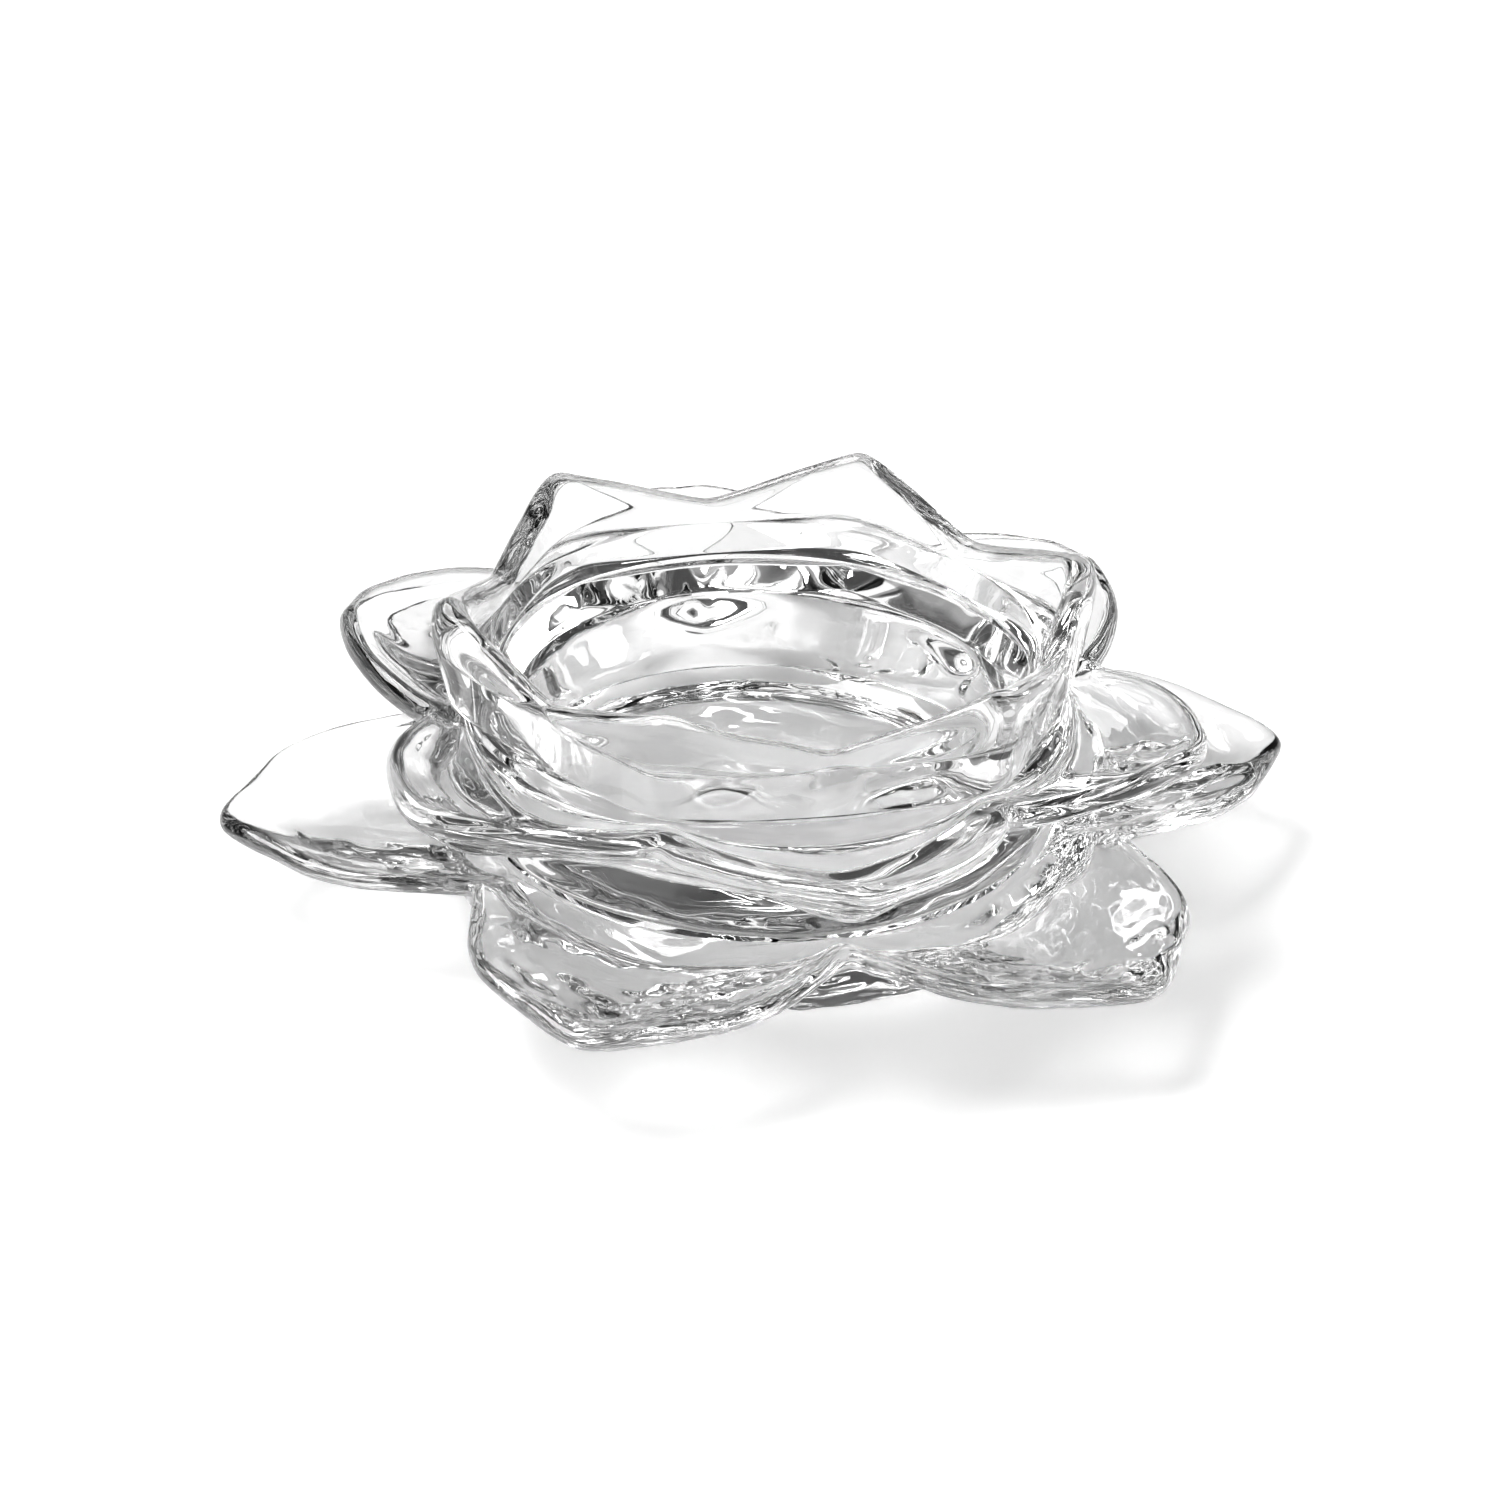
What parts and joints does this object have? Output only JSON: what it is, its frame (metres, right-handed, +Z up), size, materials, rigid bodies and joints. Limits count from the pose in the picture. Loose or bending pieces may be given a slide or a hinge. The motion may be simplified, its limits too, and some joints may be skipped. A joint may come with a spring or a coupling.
{
  "type": "tealight holder",
  "caption": "Lotus-shaped tealight holder of clear pressed glass: a round bowl among stacked tiers of pointed petals, under a crown with a zigzag lip.",
  "frame": {"origin": "middle of the foot, in the plane of the surface that it stands on", "axes": "+Z up along the axis that the petals repeat about, +X through a petal of the lower dish and a corner of the crown"},
  "size_m": [0.1096, 0.0966, 0.0312],
  "materials": {
    "clear_glass": "fire-polished, clear and colourless",
    "clear_adhesive": "cured clear, between two ground faces"
  },
  "bodies": {
    "root": {"lower_petal_dish": "clear_glass", "middle_petal_bowl": "clear_glass", "petal_crown": "clear_glass", "lower_bond_film": "clear_adhesive", "upper_bond_film": "clear_adhesive"}
  },
  "joints": []
}
